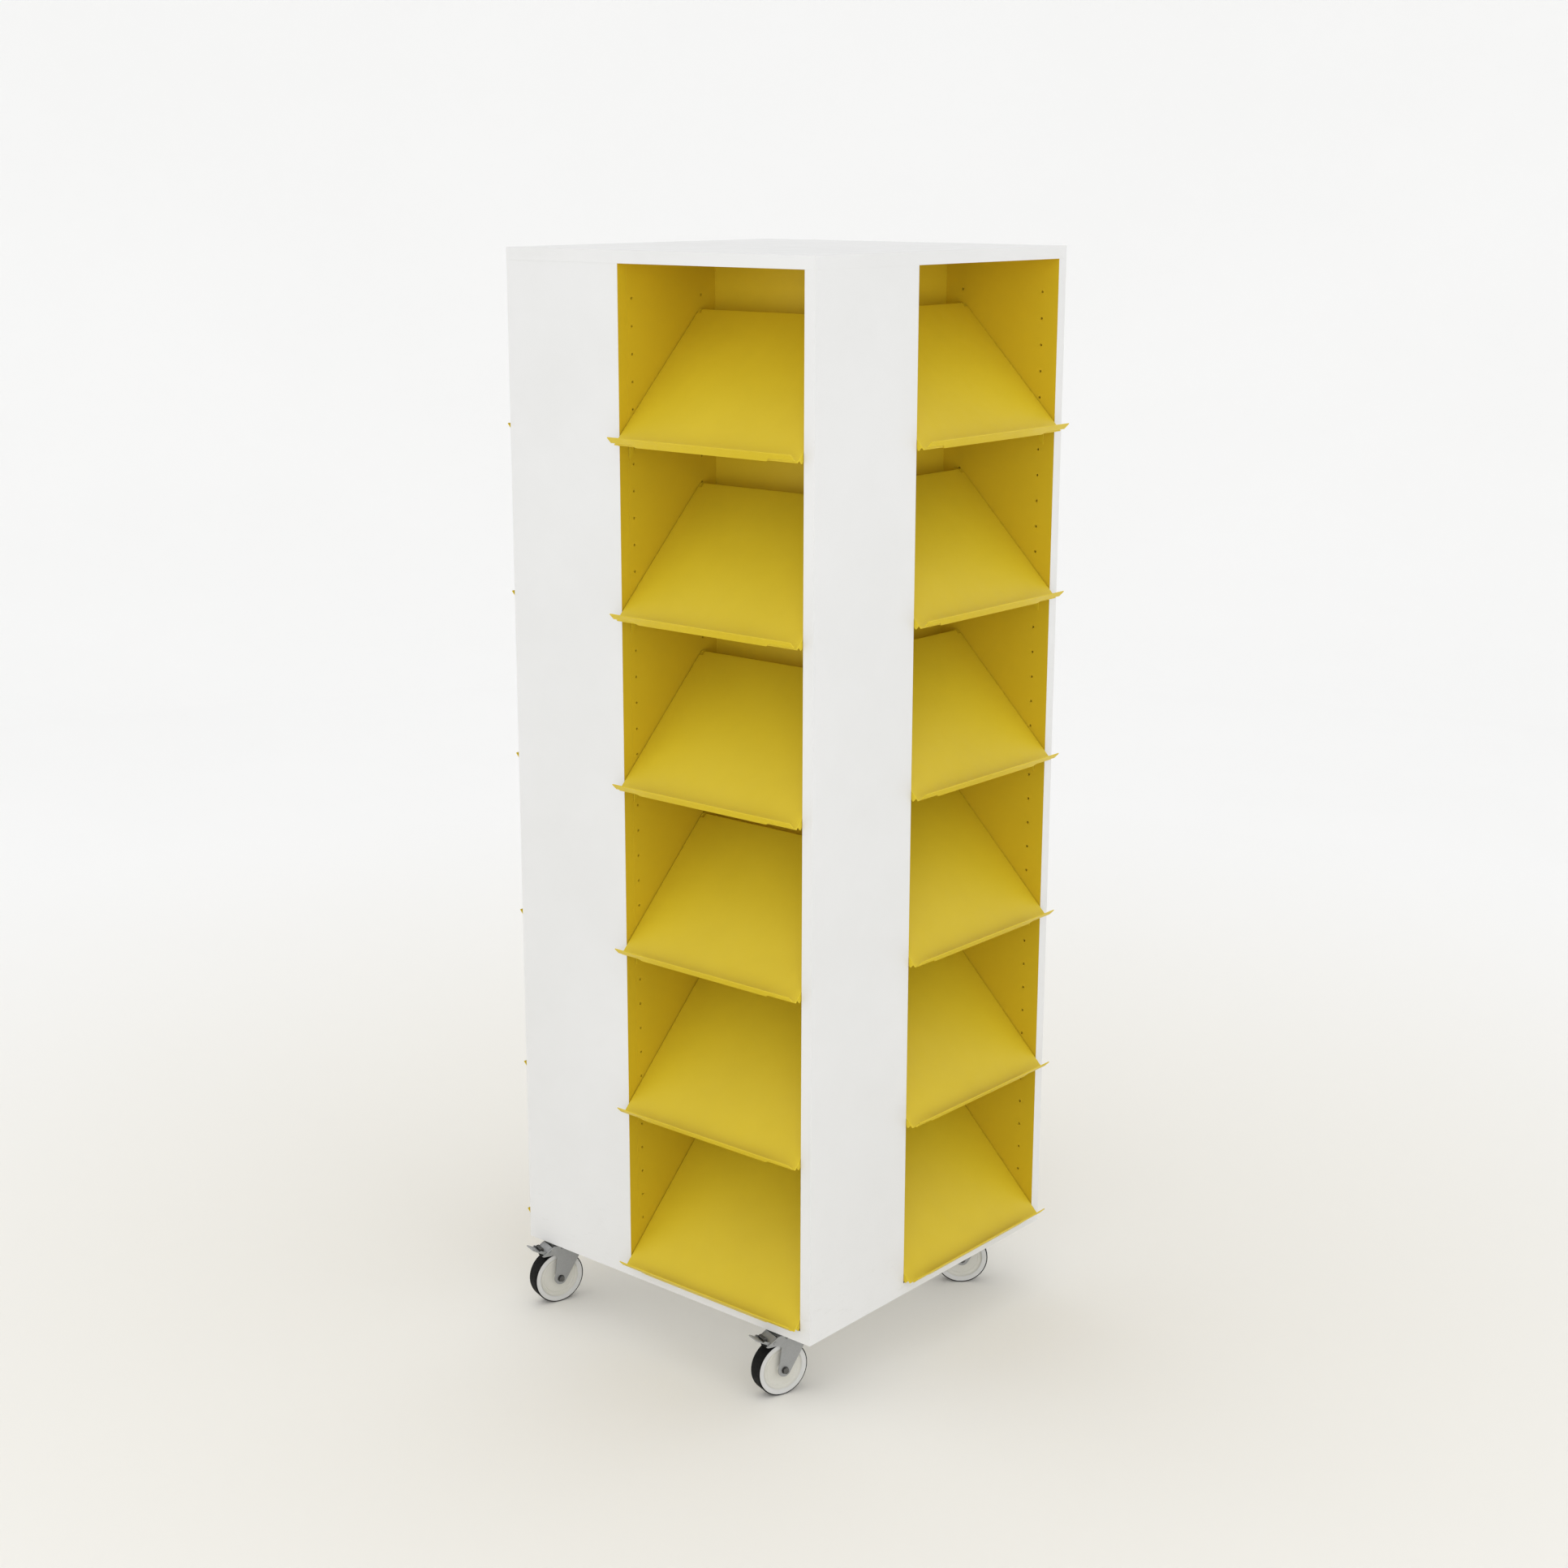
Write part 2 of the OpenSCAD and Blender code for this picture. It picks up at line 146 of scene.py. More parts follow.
soft_lamp("lamp_front", (3.6, -4.3, 1.5), (0, 0, 0.7), 3.0, 45)
soft_lamp("lamp_left", (-2.6, -4.6, 1.0), (0, 0, 0.5), 3.0, 12)
soft_lamp("lamp_right", (4.8, -0.6, 1.0), (0, 0, 0.5), 3.0, 12)

soft_lamp("lamp_below", (0, 0, 0.1), (0, 0, 0), 0.5, 0.16)

sky = bpy.data.worlds.new("sky")
bpy.context.scene.world = sky
sky.use_nodes = True
sky.node_tree.nodes["Background"].inputs["Color"].default_value = (1, 1, 1, 1)
sky.node_tree.nodes["Background"].inputs["Strength"].default_value = 1.03
bpy.context.scene.view_settings.view_transform = "Standard"

# %% [markdown]
# ## Finishes
# Each effect is one node group that a finish takes with its own values: a fine grain for pressed
# and moulded surfaces, cloudy variation, scuffs that gather low down where feet and brooms touch,
# painted shade that makes the floor darker and warmer near the tower, the crystals of a zinc coat,
# and short scratches. Each group gives values only. The shader itself stays in the material.

# %% Helpers for node groups


def new_group(name, inputs, outputs):
    """An empty group with number inputs, given with their defaults, and number outputs."""
    tree = bpy.data.node_groups.new(name, "ShaderNodeTree")
    for title, value in inputs:
        socket = tree.interface.new_socket(title, in_out="INPUT", socket_type="NodeSocketFloat")
        socket.default_value = value
    for title in outputs:
        tree.interface.new_socket(title, in_out="OUTPUT", socket_type="NodeSocketFloat")
    return tree, tree.nodes.new("NodeGroupInput"), tree.nodes.new("NodeGroupOutput")


def add(tree, kind, **values):
    """A new node. Values go to its properties or, by name, to its input sockets."""
    node = tree.nodes.new("ShaderNode" + kind)
    for key, value in values.items():
        if key in node.inputs:
            node.inputs[key].default_value = value
        else:
            setattr(node, key, value)
    return node


def math_node(tree, operation, first, second=0.0, clamp=False):
    """A Math node. Each operand is a number or an output socket."""
    node = tree.nodes.new("ShaderNodeMath")
    node.operation = operation
    node.use_clamp = clamp
    for place, operand in enumerate((first, second)):
        if isinstance(operand, (int, float)):
            node.inputs[place].default_value = operand
        else:
            tree.links.new(operand, node.inputs[place])
    return node.outputs[0]


def noise(tree, scale, detail=2.0, roughness=0.5, stretch=None):
    """Noise on the piece's own coordinates, in cells of 1 / scale metres."""
    place = add(tree, "TexCoord").outputs["Object"]
    if stretch:
        mapping = add(tree, "Mapping")
        mapping.inputs["Scale"].default_value = stretch
        tree.links.new(place, mapping.inputs["Vector"])
        place = mapping.outputs["Vector"]
    node = add(tree, "TexNoise", Detail=detail, Roughness=roughness)
    if isinstance(scale, (int, float)):
        node.inputs["Scale"].default_value = scale
    else:
        tree.links.new(scale, node.inputs["Scale"])
    tree.links.new(place, node.inputs["Vector"])
    return node.outputs["Fac"]


def band(tree, value, low, high):
    """Turns a value from low..high into 0..1, softly."""
    node = add(tree, "MapRange", interpolation_type="SMOOTHSTEP")
    node.inputs["From Min"].default_value = low
    node.inputs["From Max"].default_value = high
    tree.links.new(value, node.inputs["Value"])
    return node.outputs["Result"]


# %% Fine grain
grain, grain_in, grain_out = new_group("fine grain", [("Scale", 1500.0)], ["Height"])
coarse = noise(grain, grain_in.outputs["Scale"], detail=3)
third = math_node(grain, "MULTIPLY", grain_in.outputs["Scale"], 0.31)
broad = noise(grain, third, detail=1)
grain.links.new(
    math_node(grain, "ADD", math_node(grain, "MULTIPLY", coarse, 0.65),
              math_node(grain, "MULTIPLY", broad, 0.35)),
    grain_out.inputs["Height"],
)

# %% Clouds: slow variation over a surface
clouds, clouds_in, clouds_out = new_group(
    "clouds", [("Scale", 6.0), ("Low", 0.0), ("High", 1.0)], ["Value"])
cloud = band(clouds, noise(clouds, clouds_in.outputs["Scale"], detail=4, roughness=0.6), 0.3, 0.7)
span = math_node(clouds, "SUBTRACT", clouds_in.outputs["High"], clouds_in.outputs["Low"])
clouds.links.new(
    math_node(clouds, "ADD", math_node(clouds, "MULTIPLY", cloud, span), clouds_in.outputs["Low"]),
    clouds_out.inputs["Value"],
)

# %% Scuffs: marks that thin out with height
scuffs, scuffs_in, scuffs_out = new_group(
    "low scuffs", [("Floor", 0.1), ("Reach", 0.3), ("Amount", 0.5)], ["Mask"])
up = add(scuffs, "SeparateXYZ")
scuffs.links.new(add(scuffs, "TexCoord").outputs["Object"], up.inputs[0])
above = math_node(scuffs, "SUBTRACT", up.outputs["Z"], scuffs_in.outputs["Floor"])
share = math_node(scuffs, "DIVIDE", above, scuffs_in.outputs["Reach"])
low = math_node(scuffs, "SUBTRACT", 1.0, share, clamp=True)
marks = band(scuffs, noise(scuffs, 38.0, detail=6, roughness=0.7, stretch=(1, 1, 3.5)), 0.56, 0.74)
low_marks = math_node(scuffs, "MULTIPLY", marks, math_node(scuffs, "POWER", low, 2.0))
scuffs.links.new(
    math_node(scuffs, "MULTIPLY", low_marks, scuffs_in.outputs["Amount"]),
    scuffs_out.inputs["Mask"],
)

# %% Painted shade: the floor darker and warmer near the tower, in its middle
# A mask that is 1 around the tower and falls to 0 outwards. The floor uses it for painted shade and
# painted yellow bounce light.
painted_floor_shade, painted_floor_shade_in, painted_floor_shade_out = new_group("painted floor shade", [("Inner", 0.5), ("Outer", 1.5)], ["Mask"])
spot = add(painted_floor_shade, "VectorMath", operation="LENGTH")
painted_floor_shade.links.new(add(painted_floor_shade, "TexCoord").outputs["Object"], spot.inputs[0])
across = math_node(painted_floor_shade, "SUBTRACT", spot.outputs["Value"], painted_floor_shade_in.outputs["Inner"])
width = math_node(painted_floor_shade, "SUBTRACT", painted_floor_shade_in.outputs["Outer"], painted_floor_shade_in.outputs["Inner"])
outward = math_node(painted_floor_shade, "DIVIDE", across, width)
painted_floor_shade.links.new(math_node(painted_floor_shade, "SUBTRACT", 1.0, band(painted_floor_shade, outward, 0.0, 1.0)), painted_floor_shade_out.inputs["Mask"])

# %% Spangle: the crystals of a zinc coat
spangle, spangle_in, spangle_out = new_group("zinc spangle", [("Scale", 320.0)], ["Value"])
cells = add(spangle, "TexVoronoi", feature="F1")
spangle.links.new(add(spangle, "TexCoord").outputs["Object"], cells.inputs["Vector"])
spangle.links.new(spangle_in.outputs["Scale"], cells.inputs["Scale"])
grey = add(spangle, "SeparateColor")
spangle.links.new(cells.outputs["Color"], grey.inputs[0])
spangle.links.new(
    math_node(spangle, "ADD", math_node(spangle, "MULTIPLY", grey.outputs[0], 0.6),
              math_node(spangle, "MULTIPLY", noise(spangle, 90.0, detail=3), 0.4)),
    spangle_out.inputs["Value"],
)

# %% Scratches: sparse short hairlines
scratch, scratch_in, scratch_out = new_group("hairlines", [("Amount", 0.5)], ["Mask"])
hair_a = band(scratch, noise(scratch, 60.0, detail=1, stretch=(1, 1, 22)), 0.70, 0.78)
hair_b = band(scratch, noise(scratch, 55.0, detail=1, stretch=(20, 20, 1)), 0.71, 0.79)
scratch.links.new(
    math_node(scratch, "MULTIPLY", math_node(scratch, "MAXIMUM", hair_a, hair_b),
              scratch_in.outputs["Amount"]),
    scratch_out.inputs["Mask"],
)

# %% [markdown]
# One function makes a finish from its two colours, its roughness and how much of each effect it
# shows. The numbers that are the same all over the surface sit on the shader's own sockets.

# %% One function for every finish


def use(tree, group, **values):
    node = tree.nodes.new("ShaderNodeGroup")
    node.node_tree = group
    for key, value in values.items():
        node.inputs[key].default_value = value
    return node


PATCH_SCALE = 7                              # gloss changes in smaller patches than colour
BUMP_DEPTH = 0.0002


def finish(name, colour, other, rough, cloud_scale=5.0, grain_scale=1500.0, bump=0.1, metal=0.0,
           scuff=None, scuff_colour=(0.2, 0.2, 0.19), zinc=0.0, hair=0.0, spec=0.5, near=None):
    """A procedural material: colour drifts to other, and rough is a (low, high) pair."""
    material = bpy.data.materials.new(name)
    material.use_nodes = True
    tree = material.node_tree
    shader = tree.nodes["Principled BSDF"]
    shader.inputs["Metallic"].default_value = metal
    shader.inputs["Specular IOR Level"].default_value = spec
    if zinc:
        drift = use(tree, spangle, Scale=zinc).outputs["Value"]
    else:
        drift = use(tree, clouds, Scale=cloud_scale).outputs["Value"]
    mix = add(tree, "Mix", data_type="RGBA")
    mix.inputs[6].default_value = (*colour, 1)
    mix.inputs[7].default_value = (*other, 1)
    tree.links.new(drift, mix.inputs["Factor"])
    paint = mix.outputs[2]
    # The near colour is painted shade and painted yellow bounce light. It takes over towards the middle
    # of the piece, around the tower.
    if near:
        blend = add(tree, "Mix", data_type="RGBA")
        blend.inputs[7].default_value = (*near, 1)
        tree.links.new(paint, blend.inputs[6])
        tree.links.new(use(tree, painted_floor_shade, Inner=0.6, Outer=3.4).outputs["Mask"], blend.inputs["Factor"])
        paint = blend.outputs[2]
    patches = use(tree, clouds, Scale=cloud_scale * PATCH_SCALE).outputs["Value"]
    spread = math_node(tree, "MULTIPLY", patches, rough[1] - rough[0])
    roughness = math_node(tree, "ADD", spread, rough[0])
    if scuff:
        mask = use(tree, scuffs, Floor=scuff[0], Reach=scuff[1], Amount=scuff[2]).outputs["Mask"]
        dirty = add(tree, "Mix", data_type="RGBA")
        dirty.inputs[7].default_value = (*scuff_colour, 1)
        tree.links.new(paint, dirty.inputs[6])
        tree.links.new(mask, dirty.inputs["Factor"])
        paint = dirty.outputs[2]
        roughness = math_node(tree, "ADD", roughness, math_node(tree, "MULTIPLY", mask, 0.2))
    height = use(tree, grain, Scale=grain_scale).outputs["Height"]
    if hair:
        lines = use(tree, scratch, Amount=hair).outputs["Mask"]
        height = math_node(tree, "SUBTRACT", height, lines)
        roughness = math_node(tree, "ADD", roughness, math_node(tree, "MULTIPLY", lines, 0.12))
    relief = add(tree, "Bump", Strength=bump, Distance=BUMP_DEPTH)
    tree.links.new(height, relief.inputs["Height"])
    tree.links.new(relief.outputs["Normal"], shader.inputs["Normal"])
    tree.links.new(paint, shader.inputs["Base Color"])
    tree.links.new(roughness, shader.inputs["Roughness"])
    return material


# %% The finishes
white = finish(
    "white melamine", (0.722, 0.722, 0.714), (0.745, 0.745, 0.740), rough=(0.36, 0.44),
    cloud_scale=4.0, grain_scale=1900.0, bump=0.12,
    scuff=(0.105, 0.28, 0.16), scuff_colour=(0.42, 0.41, 0.38), hair=0.12,
)
yellow_board = finish(
    "yellow melamine", (0.645, 0.465, 0.018), (0.67, 0.487, 0.020), rough=(0.48, 0.56),
    cloud_scale=5.0, grain_scale=1900.0, bump=0.12,
    hair=0.15, spec=0.3,
)
yellow_steel = finish(
    "yellow powder coat", (0.665, 0.50, 0.020), (0.69, 0.522, 0.022), rough=(0.42, 0.50),
    cloud_scale=7.0, grain_scale=900.0, bump=0.22,
    hair=0.2, spec=0.3,
)
zinc = finish(
    "bright zinc", (0.46, 0.46, 0.45), (0.60, 0.60, 0.59), rough=(0.30, 0.42),
    cloud_scale=9.0, grain_scale=1400.0, bump=0.12,
    metal=1.0, zinc=420.0, hair=0.5,
)
fork_zinc = finish(
    "dull zinc plate", (0.325, 0.33, 0.33), (0.37, 0.375, 0.375), rough=(0.42, 0.55),
    cloud_scale=9.0, grain_scale=1100.0, bump=0.2,
    metal=0.5, zinc=700.0, hair=0.5,
)
bolt_steel = finish(
    "dark bolt steel", (0.10, 0.10, 0.10), (0.16, 0.16, 0.155), rough=(0.30, 0.42),
    cloud_scale=30.0, grain_scale=1600.0, bump=0.12,
    metal=0.9, hair=0.4,
)
nylon = finish(
    "white nylon", (0.59, 0.59, 0.575), (0.62, 0.62, 0.61), rough=(0.34, 0.44),
    cloud_scale=18.0, grain_scale=1300.0, bump=0.10,
    scuff=(0.0, 0.09, 0.15), scuff_colour=(0.30, 0.29, 0.26),
)
# The web's finish is a darker, warmer white than the rim's: painted shade in the sunken web.
shaded_web_nylon = finish(
    "nylon with painted shade", (0.60, 0.59, 0.53), (0.635, 0.625, 0.575), rough=(0.38, 0.48),
    cloud_scale=18.0, grain_scale=1300.0, bump=0.12,
    scuff=(0.0, 0.09, 0.15), scuff_colour=(0.30, 0.29, 0.26),
)
rubber = finish(
    "black rubber", (0.004, 0.004, 0.004), (0.008, 0.008, 0.008), rough=(0.62, 0.78),
    cloud_scale=25.0, grain_scale=1200.0, bump=0.3,
    scuff=(0.0, 0.09, 0.10), scuff_colour=(0.05, 0.049, 0.045), spec=0.12,
)
beech = finish(
    "beech dowel", (0.50, 0.32, 0.16), (0.62, 0.42, 0.23), rough=(0.60, 0.72),
    cloud_scale=60.0, grain_scale=700.0, bump=0.4,
)
# Its near colour is painted shade and painted yellow bounce light: the floor darker and warmer near the
# tower.
floor_paint = finish(
    "sweep paint", (0.91, 0.91, 0.905), (0.92, 0.92, 0.916), rough=(0.80, 0.88),
    cloud_scale=0.6, grain_scale=300.0, bump=0.02,
    near=(0.85, 0.832, 0.78),
)
sweep.data.materials.append(floor_paint)
print("finishes:", len(bpy.data.materials))

# %% [markdown]
# ## Boards
# The boards are 19 mm melamine. On the real one each edge is broken by a fraction of a millimetre,
# which is what makes an edge catch the light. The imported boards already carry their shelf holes, so
# each is copied, its triangles are joined up, and only its outline is bevelled. White goes on what
# faces out of the tower and yellow on what faces into the bays.

# %% Copy, bevel and finish helpers


def merged_copy(node, name):
    """A CAD node's mesh as a new piece, with its loose triangles joined up."""
    piece = bpy.data.objects.new(name, frame["nodes"][node].data.copy())
    bpy.context.scene.collection.objects.link(piece)
    piece.data.materials.clear()
    only(piece)
    if piece.data.has_custom_normals:
        bpy.ops.mesh.customdata_custom_splitnormals_clear()
    bpy.ops.object.mode_set(mode="EDIT")
    bpy.ops.mesh.select_all(action="SELECT")
    bpy.ops.mesh.remove_doubles(threshold=2e-6)
    bpy.ops.mesh.dissolve_limited(angle_limit=math.radians(0.3))
    bpy.ops.object.mode_set(mode="OBJECT")
    return piece


def bevel_where(piece, test, width, segments):
    """Bevels the edges whose two ends, given as vectors, pass the test."""
    only(piece)
    bpy.context.tool_settings.mesh_select_mode = (False, True, False)
    mesh = piece.data
    for part in (mesh.vertices, mesh.edges, mesh.polygons):
        part.foreach_set("select", [False] * len(part))
    count = 0
    for edge in mesh.edges:
        a, b = (mesh.vertices[i].co for i in edge.vertices)
        edge.select = bool(test(a, b))
        count += edge.select
    bpy.ops.object.mode_set(mode="EDIT")
    bpy.ops.mesh.bevel(offset=width, segments=segments, affect="EDGES", clamp_overlap=True)
    bpy.ops.object.mode_set(mode="OBJECT")
    return count


def modify(piece, kind, **values):
    """Adds a modifier with these settings and applies it."""
    only(piece)
    modifier = piece.modifiers.new(kind.lower(), kind)
    for key, value in values.items():
        setattr(modifier, key, value)
    bpy.ops.object.modifier_apply(modifier=modifier.name)


def smooth(piece, angle=30):
    """Smooth shading below an angle. Weighted normals keep the large faces flat."""
    only(piece)
    bpy.ops.object.shade_smooth_by_angle(angle=math.radians(angle))
    modify(piece, "WEIGHTED_NORMAL", keep_sharp=True, weight=80)


def on_outline(low, high):
    """A test for edges that lie on the outline of the box from low to high."""
    def test(a, b):
        sides = 0
        for axis in range(3):
            for side in (low[axis], high[axis]):
                if abs(a[axis] - side) < 1e-5 and abs(b[axis] - side) < 1e-5:
                    sides += 1
        return sides >= 2
    return test


def stands_for(piece, body, slot, *nodes):
    """Puts a finished piece on its body, in place of its CAD nodes."""
    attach(piece, body)
    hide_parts(*nodes)
    return piece


# %% Build the boards
SIDES = ["front", "right", "back", "left"]
BOARD_EDGE = 0.22 * MM


def faces_out(polygon):
    """Whether a face lies in one of the cabinet's outer planes, or belongs to their bevels."""
    centre = polygon.center
    return max(abs(centre.x), abs(centre.y)) > HALF - 1.2 * BOARD_EDGE


def board(node, slot, test=faces_out):
    piece = merged_copy(node, node + "_board")
    bevel_where(piece, on_outline(*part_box(node)), BOARD_EDGE, 2)
    piece.data.materials.append(white)
    piece.data.materials.append(yellow_board)
    for polygon in piece.data.polygons:
        polygon.material_index = 0 if test(polygon) else 1
    smooth(piece)
    return stands_for(piece, "cabinet", slot, node)


for side in SIDES:
    board("outer_panel_" + side, "white_laminate")
    board("partition_" + side, "yellow_laminate")
bottom_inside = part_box("bottom_board")[1].z
top_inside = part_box("top_board")[0].z
board("bottom_board", "white_laminate", lambda p: faces_out(p) or p.center.z < bottom_inside - 4e-4)
board("top_board", "white_laminate", lambda p: faces_out(p) or p.center.z > top_inside + 4e-4)
print("boards done")

# %% [markdown]
# ## Shelves
# Each shelf is one sheet of 1.5 mm steel, cut, folded and powder coated. Paint rounds every cut
# edge a little, and the long folds between plate and cheeks have the radius of the press brake.
# All shelves come from their CAD nodes, because their pin slots differ from level to level. Their
# cheeks are cut off level with the plate's rear edge, so that nothing stands up behind it.

# %% Build the shelves
FOLD_R = 1.1 * MM
COAT_R = 0.28 * MM
CHEEK_TRIM = 14.0 * MM                       # the cheeks end level with the plate's rear edge


def trim_above(piece, height):
    """Cuts a piece off level at a height and closes the cut."""
    only(piece)
    bpy.ops.object.mode_set(mode="EDIT")
    bpy.ops.mesh.select_all(action="SELECT")
    bpy.ops.mesh.bisect(plane_co=(0, 0, height), plane_no=(0, 0, 1), clear_outer=True, use_fill=True)
    bpy.ops.object.mode_set(mode="OBJECT")


def shelf(side, level):
    node = f"shelf_{side}_{level}"
    piece = merged_copy(node, node + "_folded")
    turns = SIDES.index(side)
    trim_above(piece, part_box(node)[1].z - CHEEK_TRIM)
    home = Matrix.Rotation(-math.pi / 2 * turns, 4, "Z")
    low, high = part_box(node)
    corners = [home @ Vector((x, y, 0)) for x in (low.x, high.x) for y in (low.y, high.y)]
    left = min(c.x for c in corners)
    right = max(c.x for c in corners)

    def cheek_fold(a, b):
        a, b = home @ a, home @ b
        along = b - a
        on_end = all(min(abs(p.x - left), abs(p.x - right)) < 1e-5 for p in (a, b))
        sloping = abs(along.y) > 0.05 and abs(abs(along.z) - abs(along.y)) < 1e-3
        top = all(p.z - p.y > plate_top - 4e-4 for p in (a, b))
        return on_end and sloping and top

    plate_top = max((home @ v.co).z - (home @ v.co).y for v in piece.data.vertices
                    if (home @ v.co).y > -0.2)
    count = bevel_where(piece, cheek_fold, FOLD_R, 4)
    modify(piece, "BEVEL", width=COAT_R, segments=2, limit_method="ANGLE",
           angle_limit=math.radians(35), use_clamp_overlap=False)
    piece.data.materials.append(yellow_steel)
    smooth(piece)
    stands_for(piece, "cabinet", "yellow_steel", node)
    return count


folds = [shelf(side, level) for side in SIDES for level in range(1, 7)]
print("shelves:", len(folds), "folds bevelled:", folds)

# %% [markdown]
# ## Shelf pins and dowels
# The pins are turned steel, so their ends are chamfered. The dowels stay inside the boards, where
# nobody sees them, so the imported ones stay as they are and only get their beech.

# %% Finish the pins and dowels


def refined(node, body, slot, material, width, segments=2, angle=35):
    """A CAD node's copy with all its sharp edges broken."""
    piece = merged_copy(node, node + "_finished")
    modify(piece, "BEVEL", width=width, segments=segments, limit_method="ANGLE",
           angle_limit=math.radians(angle), use_clamp_overlap=False)
    piece.data.materials.append(material)
    smooth(piece)
    return stands_for(piece, body, slot, node)


refined("shelf_pins", "cabinet", "zinc_steel", zinc, 0.4 * MM)
dowel_mesh = frame["nodes"]["dowels"].data
dowel_mesh.materials.clear()
dowel_mesh.materials.append(beech)

# %% [markdown]
# ## Castors
# A castor is a stamped top plate with four screws, a ball race under a pressed cover, a fork of
# folded steel that trails behind the swivel, and a nylon wheel with a thin black tread. The front
# two have a brake: a lever with an outer tread that locks the wheel and an inner plate that frees
# it. The fixed pieces come from their CAD nodes. The wheel, tread, axle bolt and brake are modelled
# here once, on a castor that swivels on the Z axis and trails along +X, and copied to their places.

# %% Where the castors are
swivel_at = {name: Vector(joints[name + "_swivel"]["pos_m"]) for name in CASTORS}
axle_at = {name: Vector(joints[name + "_roll"]["pos_m"]) for name in CASTORS}
WHEEL_R = axle_at["front_right"].z
TRAIL = (axle_at["front_right"] - swivel_at["front_right"]).to_2d().length
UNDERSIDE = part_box("bottom_board")[0].z


def castor_place(name):
    """Takes a castor on the Z axis, trailing along +X, to where this one stands."""
    across = joints[name + "_roll"]["axis"]
    turn = math.atan2(-across[0], across[1])
    spot = swivel_at[name]
    return Matrix.Translation((spot.x, spot.y, 0)) @ Matrix.Rotation(turn, 4, "Z")


def copies(model, names, body, slot, node, material, second=None, where=None):
    """Copies a model to each castor named. The second finish goes on the faces that pass a test."""
    model.data.materials.clear()
    model.data.materials.append(material)
    if second:
        model.data.materials.append(second)
        for polygon in model.data.polygons:
            polygon.material_index = int(where(polygon.center))
    for name in names:
        piece = bpy.data.objects.new(f"{model.name}_{name}", model.data.copy())
        bpy.context.scene.collection.objects.link(piece)
        piece.data.transform(castor_place(name))
        stands_for(piece, body + name, slot, node + name)
    bpy.data.objects.remove(model)


print("wheel radius:", WHEEL_R, "trail:", round(TRAIL, 4), "underside:", round(UNDERSIDE, 4))

# %% [markdown]
# The stamped plates get rounded corners first, and then every edge of the fixed steel is broken.

# %% Plates, screws, kingpins and races


def upright_corner(a, b):
    return abs(a.x - b.x) + abs(a.y - b.y) < 1e-6 and abs(a.z - b.z) > MM and on_plate_corner(a)


def on_plate_corner(point):
    spot = min(swivel_at.values(), key=lambda s: (point - s).to_2d().length)
    return (point - spot).to_2d().length > 50 * MM


plates = merged_copy("castor_plates", "castor_plates_stamped")
rounded = bevel_where(plates, upright_corner, 7 * MM, 6)
modify(plates, "BEVEL", width=0.3 * MM, segments=2, limit_method="ANGLE",
       angle_limit=math.radians(50), use_clamp_overlap=False)
plates.data.materials.append(zinc)
smooth(plates)
stands_for(plates, "cabinet", "zinc_steel", "castor_plates")
refined("castor_screws", "cabinet", "zinc_steel", zinc, 0.35 * MM)
refined("castor_kingpins", "cabinet", "zinc_steel", zinc, 0.6 * MM)
refined("castor_bearings", "cabinet", "zinc_steel", zinc, 0.5 * MM)
print("plate corners rounded:", rounded)

# %% [markdown]
# A fork is one blank folded down on both sides. Its folds get the radius of the bend, the rest of
# its outline only a broken edge.

# %% Forks
ARM_OUT = 17 * MM
CROWN_TOP = UNDERSIDE - 10 * MM


def fork(name):
    piece = merged_copy("fork_" + name, f"fork_{name}_pressed")
    home = castor_place(name).inverted()

    def fold(a, b):
        return all(abs(abs(p.y) - ARM_OUT) < 2e-5 and abs(p.z - CROWN_TOP) < 2e-5 and p.x > 16 * MM
                   for p in (home @ a, home @ b))

    count = bevel_where(piece, fold, 2.0 * MM, 4)
    modify(piece, "BEVEL", width=0.35 * MM, segments=2, limit_method="ANGLE",
           angle_limit=math.radians(40), use_clamp_overlap=False)
    piece.data.materials.append(fork_zinc)
    smooth(piece)
    stands_for(piece, "swivel_" + name, "zinc_fork", "fork_" + name)
    return count


print("fork folds:", [fork(name) for name in CASTORS])

# %% [markdown]
# ## Wheel and tread
# Both are turned shapes, so their half outlines are drawn point by point and spun round the axle.
# The wheel has a hub, a sunken web with one shallow ridge, and a flat rim. The web is painted a
# warmer and darker white than the rim, as painted shade in its hollow.

# %% Draw and spin helpers


def drawn(name, points):
    """A closed outline, drawn by extruding one point from corner to corner. Stays in edit mode."""
    deselect()
    points = [Vector(p) for p in points]
    bpy.ops.mesh.primitive_plane_add(size=MM, location=points[0])
    piece = bpy.context.object
    piece.name = name
    bpy.ops.object.transform_apply(location=True, rotation=True, scale=True)
    bpy.ops.object.mode_set(mode="EDIT")
    bpy.context.tool_settings.mesh_select_mode = (True, False, False)
    bpy.ops.mesh.select_all(action="SELECT")
    bpy.ops.mesh.merge(type="CENTER")
    loop = points + points[:1]
    for a, b in zip(loop, loop[1:]):
        bpy.ops.mesh.extrude_vertices_move(TRANSFORM_OT_translate={"value": b - a})
    bpy.ops.mesh.select_all(action="SELECT")
    bpy.ops.mesh.remove_doubles(threshold=1e-6)
    return piece


def closed_up():
    """Joins doubles, turns every face outwards and leaves edit mode."""
    bpy.ops.mesh.select_all(action="SELECT")
    bpy.ops.mesh.remove_doubles(threshold=1e-6)
    bpy.ops.mesh.normals_make_consistent(inside=False)
    bpy.ops.object.mode_set(mode="OBJECT")


